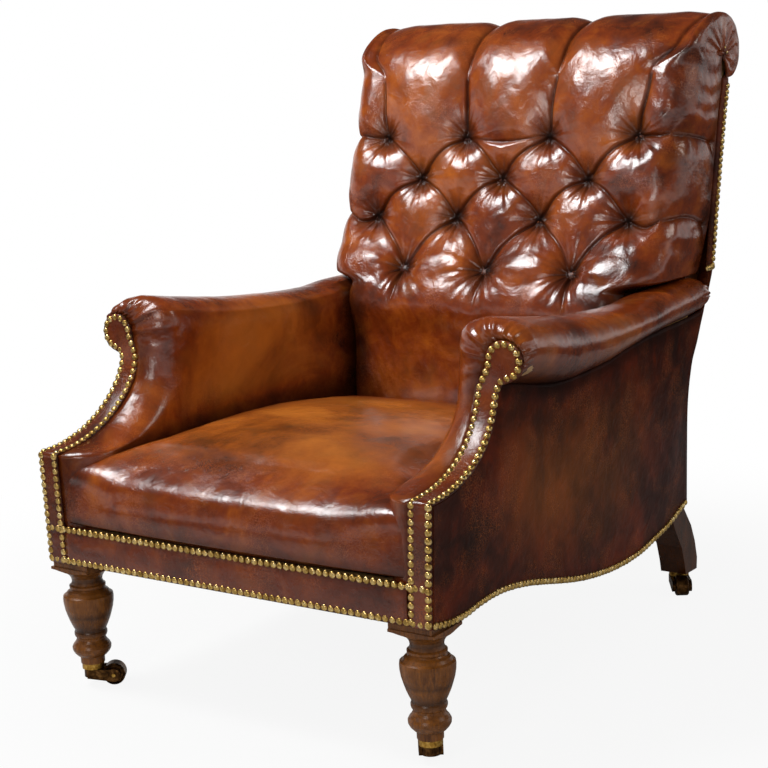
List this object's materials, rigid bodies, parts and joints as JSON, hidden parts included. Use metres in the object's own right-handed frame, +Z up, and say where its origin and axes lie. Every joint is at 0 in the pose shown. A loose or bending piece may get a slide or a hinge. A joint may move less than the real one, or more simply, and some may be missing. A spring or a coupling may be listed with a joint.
{
  "type": "club chair",
  "caption": "Leather club chair with a deep-buttoned back that rolls over at the top, scroll arms, a domed seat, turned front legs and swivel casters.",
  "frame": {"origin": "on the floor under the middle of the chair's box", "axes": "+Z up, -Y towards the front of the chair, +Y towards its back, +X towards the right as seen from the front"},
  "size_m": [0.8092, 1.062, 1.035],
  "materials": {
    "leather": "worn chestnut leather, semi-gloss, darker in the folds",
    "buttons": "dark chestnut leather over a domed button, semi-gloss",
    "turned_wood": "polished mid-brown walnut",
    "dark_wood": "dark walnut, satin",
    "frame_wood": "plain sawn beech, hidden inside",
    "webbing": "woven linen webbing, hidden inside",
    "dust_cloth": "black woven cloth, matt",
    "cup_brass": "aged brass, satin",
    "caster_bronze": "dark bronze-brown cast brass, worn"
  },
  "bodies": {
    "chair": {"front_rail": "frame_wood", "rear_rail": "frame_wood", "side_rail_left": "frame_wood", "side_rail_right": "frame_wood", "corner_blocks": "frame_wood", "front_leg_left": "turned_wood", "front_leg_right": "turned_wood", "rear_post_left": "dark_wood", "rear_post_right": "dark_wood", "arm_post_left": "frame_wood", "arm_post_right": "frame_wood", "arm_rail_left": "frame_wood", "arm_rail_right": "frame_wood", "back_lower_rail": "frame_wood", "crest_rail": "frame_wood", "seat_webbing": "webbing", "back_webbing": "webbing", "dust_cover": "dust_cloth", "seat_pad": "leather", "back_pad": "leather", "back_buttons": "buttons", "arm_pad_left": "leather", "arm_pad_right": "leather", "front_border": "leather", "arm_facing_left": "leather", "arm_facing_right": "leather", "outside_arm_left": "leather", "outside_arm_right": "leather", "outside_back": "leather", "back_strip_left": "leather", "back_strip_right": "leather", "front_left_cup": "cup_brass", "front_right_cup": "cup_brass", "rear_left_cup": "cup_brass", "rear_right_cup": "cup_brass"},
    "front_left_fork": {"front_left_horn": "caster_bronze", "front_left_axle": "cup_brass"},
    "front_left_roller": {"front_left_wheel": "caster_bronze"},
    "front_right_fork": {"front_right_horn": "caster_bronze", "front_right_axle": "cup_brass"},
    "front_right_roller": {"front_right_wheel": "caster_bronze"},
    "rear_left_fork": {"rear_left_horn": "caster_bronze", "rear_left_axle": "cup_brass"},
    "rear_left_roller": {"rear_left_wheel": "caster_bronze"},
    "rear_right_fork": {"rear_right_horn": "caster_bronze", "rear_right_axle": "cup_brass"},
    "rear_right_roller": {"rear_right_wheel": "caster_bronze"}
  },
  "joints": [
    {"name": "front_left_swivel", "type": "hinge", "parent": "chair", "child": "front_left_fork", "pos_m": [-0.328, -0.49051, 0.0285], "axis": [0, 0, 1], "continuous": true},
    {"name": "front_left_spin", "type": "hinge", "parent": "front_left_fork", "child": "front_left_roller", "pos_m": [-0.30032, -0.47077, 0.018], "axis": [-0.5807, 0.8141, 0], "continuous": true},
    {"name": "front_right_swivel", "type": "hinge", "parent": "chair", "child": "front_right_fork", "pos_m": [0.328, -0.49051, 0.0285], "axis": [0, 0, 1], "continuous": true},
    {"name": "front_right_spin", "type": "hinge", "parent": "front_right_fork", "child": "front_right_roller", "pos_m": [0.30821, -0.46287, 0.018], "axis": [-0.8131, -0.5821, 0], "continuous": true},
    {"name": "rear_left_swivel", "type": "hinge", "parent": "chair", "child": "rear_left_fork", "pos_m": [-0.2795, 0.40019, 0.0285], "axis": [0, 0, 1], "continuous": true},
    {"name": "rear_left_spin", "type": "hinge", "parent": "rear_left_fork", "child": "rear_left_roller", "pos_m": [-0.30735, 0.38068, 0.018], "axis": [0.5736, -0.8192, 0], "continuous": true},
    {"name": "rear_right_swivel", "type": "hinge", "parent": "chair", "child": "rear_right_fork", "pos_m": [0.2795, 0.40019, 0.0285], "axis": [0, 0, 1], "continuous": true},
    {"name": "rear_right_spin", "type": "hinge", "parent": "rear_right_fork", "child": "rear_right_roller", "pos_m": [0.29851, 0.372, 0.018], "axis": [0.829, 0.5592, 0], "continuous": true}
  ]
}
